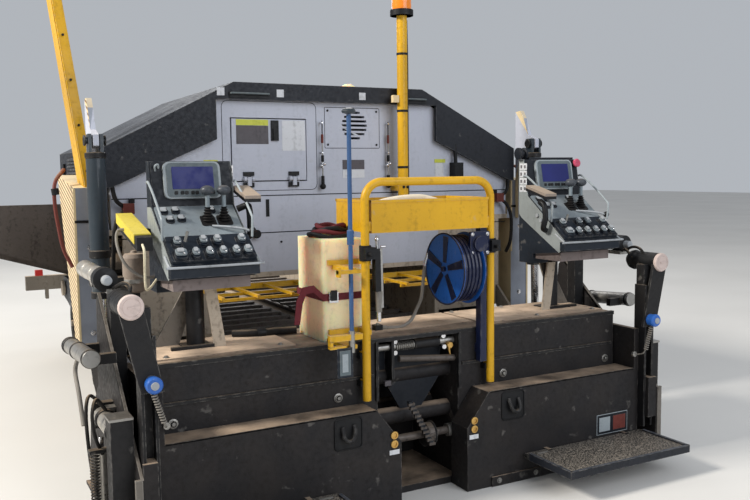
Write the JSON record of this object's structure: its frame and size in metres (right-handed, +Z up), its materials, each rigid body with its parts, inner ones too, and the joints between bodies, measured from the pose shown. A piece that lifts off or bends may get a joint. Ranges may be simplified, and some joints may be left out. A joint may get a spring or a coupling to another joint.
{
  "type": "asphalt paver",
  "caption": "Wheeled asphalt paver with open-winged hopper, engine body under a lifting hood, augers, and a towed screed with sliding extensions, consoles and yellow hoop.",
  "frame": {"origin": "on the ground at the centre of the bounding box", "axes": "+Y forward in the direction of travel, towards the hopper; +X to the machine's right; +Z up"},
  "size_m": [3.1, 5.185, 2.478],
  "materials": {
    "frame_grey": "dusty satin paint",
    "body_white": "dusty satin paint",
    "panel_cream": "dusty satin paint",
    "engine_dark": "cast and painted",
    "worn_steel": "worn and stained",
    "safety_yellow": "chipped gloss paint",
    "charcoal": "dusty satin paint",
    "tyre_rubber": "dusty rubber",
    "cylinder_grey": "satin paint",
    "bright_steel": "polished",
    "tank_plastic": "moulded, stained",
    "frame_blue": "gloss paint",
    "black_paint": "worn satin paint",
    "reel_blue": "gloss paint",
    "console_grey": "textured satin paint"
  },
  "bodies": {
    "tractor": {"chassis": "frame_grey", "bulkhead": "body_white", "side_panels": "body_white", "corner_boxes": "panel_cream", "engine": "engine_dark", "conveyor": "worn_steel", "push_beam": "frame_grey", "front_axle": "frame_grey", "rear_hubs": "frame_grey", "auger_drive": "frame_grey", "auger_grates": "safety_yellow", "masts": "safety_yellow"},
    "hood": {"hood": "charcoal"},
    "service_door": {"service_door": "body_white"},
    "screed": {"tow_arms": "charcoal", "main_screed": "charcoal", "hoop_frame": "safety_yellow", "tool_tray": "safety_yellow", "wash_tank": "tank_plastic", "reel_stand": "frame_blue", "console_posts": "black_paint"},
    "hose_reel": {"hose_reel": "reel_blue"},
    "rear_wheel_left": {"rear_tyre_left": "tyre_rubber", "rear_rim_left": "safety_yellow"},
    "knuckle_left": {"knuckle_left": "frame_grey"},
    "front_wheel_left": {"front_wheel_left": "tyre_rubber"},
    "hopper_wing_left": {"hopper_wing_left": "worn_steel"},
    "push_roller_left": {"push_roller_left": "worn_steel"},
    "auger_left": {"auger_left": "worn_steel"},
    "lift_barrel_left": {"lift_barrel_left": "cylinder_grey"},
    "lift_rod_left": {"lift_rod_left": "bright_steel"},
    "extension_left": {"extension_left": "charcoal", "gate_guide_left": "black_paint"},
    "end_gate_left": {"end_gate_left": "charcoal"},
    "catwalk_left": {"catwalk_left": "black_paint"},
    "console_left": {"console_left": "console_grey"},
    "rear_wheel_right": {"rear_tyre_right": "tyre_rubber", "rear_rim_right": "safety_yellow"},
    "knuckle_right": {"knuckle_right": "frame_grey"},
    "front_wheel_right": {"front_wheel_right": "tyre_rubber"},
    "hopper_wing_right": {"hopper_wing_right": "worn_steel"},
    "push_roller_right": {"push_roller_right": "worn_steel"},
    "auger_right": {"auger_right": "worn_steel"},
    "lift_barrel_right": {"lift_barrel_right": "cylinder_grey"},
    "lift_rod_right": {"lift_rod_right": "bright_steel"},
    "extension_right": {"extension_right": "charcoal", "gate_guide_right": "black_paint"},
    "end_gate_right": {"end_gate_right": "charcoal"},
    "catwalk_right": {"catwalk_right": "black_paint"},
    "console_right": {"console_right": "console_grey"}
  },
  "joints": [
    {"name": "hood_lift", "type": "hinge", "parent": "tractor", "child": "hood", "pos_m": [0, 0.1175, 1.81], "axis": [-1, 0, 0], "range_deg": [0, 40]},
    {"name": "service_door_drop", "type": "hinge", "parent": "tractor", "child": "service_door", "pos_m": [0, -1.2665, 1.404], "axis": [1, 0, 0], "range_deg": [0, 90]},
    {"name": "screed_lift", "type": "hinge", "parent": "tractor", "child": "screed", "pos_m": [0, 0.3375, 0.72], "axis": [-1, 0, 0], "range_deg": [0, 9]},
    {"name": "rear_wheel_spin_left", "type": "hinge", "parent": "tractor", "child": "rear_wheel_left", "pos_m": [-0.88, -0.3625, 0.56], "axis": [1, 0, 0], "continuous": true},
    {"name": "steer_left", "type": "hinge", "parent": "tractor", "child": "knuckle_left", "pos_m": [-0.64, 1.6375, 0.27], "axis": [0, 0, 1], "range_deg": [-18, 18]},
    {"name": "front_wheel_spin_left", "type": "hinge", "parent": "knuckle_left", "child": "front_wheel_left", "pos_m": [-0.8, 1.6375, 0.27], "axis": [1, 0, 0], "continuous": true},
    {"name": "hopper_wing_fold_left", "type": "hinge", "parent": "tractor", "child": "hopper_wing_left", "pos_m": [-0.695, 1.1775, 0.697], "axis": [0, 1, 0], "range_deg": [0, 50]},
    {"name": "push_roller_spin_left", "type": "hinge", "parent": "tractor", "child": "push_roller_left", "pos_m": [-0.34, 2.5175, 0.52], "axis": [1, 0, 0], "continuous": true},
    {"name": "auger_spin_left", "type": "hinge", "parent": "tractor", "child": "auger_left", "pos_m": [-0.56, -1.4725, 0.43], "axis": [1, 0, 0], "continuous": true},
    {"name": "lift_barrel_swing_left", "type": "hinge", "parent": "tractor", "child": "lift_barrel_left", "pos_m": [-1.224, -1.4025, 1.585], "axis": [-1, 0, 0], "range_deg": [0, 2.18]},
    {"name": "lift_rod_slide_left", "type": "slide", "parent": "lift_barrel_left", "child": "lift_rod_left", "axis": [0, 0.0255, 0.9997], "range_m": [0, 0.27939]},
    {"name": "extension_slide_left", "type": "slide", "parent": "screed", "child": "extension_left", "axis": [-1, 0, 0], "range_m": [0, 0.9]},
    {"name": "end_gate_lift_left", "type": "slide", "parent": "extension_left", "child": "end_gate_left", "axis": [0, 0, 1], "range_m": [0, 0.12]},
    {"name": "catwalk_fold_left", "type": "hinge", "parent": "extension_left", "child": "catwalk_left", "pos_m": [-0.84, -2.2825, 0.118], "axis": [-1, 0, 0], "range_deg": [0, 85]},
    {"name": "console_swivel_left", "type": "hinge", "parent": "screed", "child": "console_left", "pos_m": [-0.93, -1.8625, 1], "axis": [0, 0, 1], "range_deg": [-25, 25]},
    {"name": "rear_wheel_spin_right", "type": "hinge", "parent": "tractor", "child": "rear_wheel_right", "pos_m": [0.88, -0.3625, 0.56], "axis": [1, 0, 0], "continuous": true},
    {"name": "steer_right", "type": "hinge", "parent": "tractor", "child": "knuckle_right", "pos_m": [0.64, 1.6375, 0.27], "axis": [0, 0, 1], "range_deg": [-18, 18]},
    {"name": "front_wheel_spin_right", "type": "hinge", "parent": "knuckle_right", "child": "front_wheel_right", "pos_m": [0.8, 1.6375, 0.27], "axis": [1, 0, 0], "continuous": true},
    {"name": "hopper_wing_fold_right", "type": "hinge", "parent": "tractor", "child": "hopper_wing_right", "pos_m": [0.695, 1.1775, 0.697], "axis": [0, -1, 0], "range_deg": [0, 50]},
    {"name": "push_roller_spin_right", "type": "hinge", "parent": "tractor", "child": "push_roller_right", "pos_m": [0.34, 2.5175, 0.52], "axis": [1, 0, 0], "continuous": true},
    {"name": "auger_spin_right", "type": "hinge", "parent": "tractor", "child": "auger_right", "pos_m": [0.56, -1.4725, 0.43], "axis": [1, 0, 0], "continuous": true},
    {"name": "lift_barrel_swing_right", "type": "hinge", "parent": "tractor", "child": "lift_barrel_right", "pos_m": [1.224, -1.4025, 1.585], "axis": [-1, 0, 0], "range_deg": [0, 2.18]},
    {"name": "lift_rod_slide_right", "type": "slide", "parent": "lift_barrel_right", "child": "lift_rod_right", "axis": [0, 0.0255, 0.9997], "range_m": [0, 0.27939]},
    {"name": "extension_slide_right", "type": "slide", "parent": "screed", "child": "extension_right", "axis": [1, 0, 0], "range_m": [0, 0.9]},
    {"name": "end_gate_lift_right", "type": "slide", "parent": "extension_right", "child": "end_gate_right", "axis": [0, 0, 1], "range_m": [0, 0.12]},
    {"name": "catwalk_fold_right", "type": "hinge", "parent": "extension_right", "child": "catwalk_right", "pos_m": [0.84, -2.2825, 0.118], "axis": [-1, 0, 0], "range_deg": [0, 85]},
    {"name": "console_swivel_right", "type": "hinge", "parent": "screed", "child": "console_right", "pos_m": [0.97, -1.8625, 1], "axis": [0, 0, 1], "range_deg": [-25, 25]},
    {"name": "hose_reel_spin", "type": "hinge", "parent": "screed", "child": "hose_reel", "pos_m": [0.24, -2.0625, 0.985], "axis": [1, 0, 0], "continuous": true}
  ],
  "couplings": [
    {"joint": "lift_barrel_swing_left", "follows": "screed_lift", "ratio": 0.24061},
    {"joint": "lift_rod_slide_left", "follows": "screed_lift", "m_per_rad": 1.778},
    {"joint": "lift_barrel_swing_right", "follows": "screed_lift", "ratio": 0.24061},
    {"joint": "lift_rod_slide_right", "follows": "screed_lift", "m_per_rad": 1.778},
    {"joint": "steer_left", "follows": "steer_right", "ratio": 1}
  ]
}
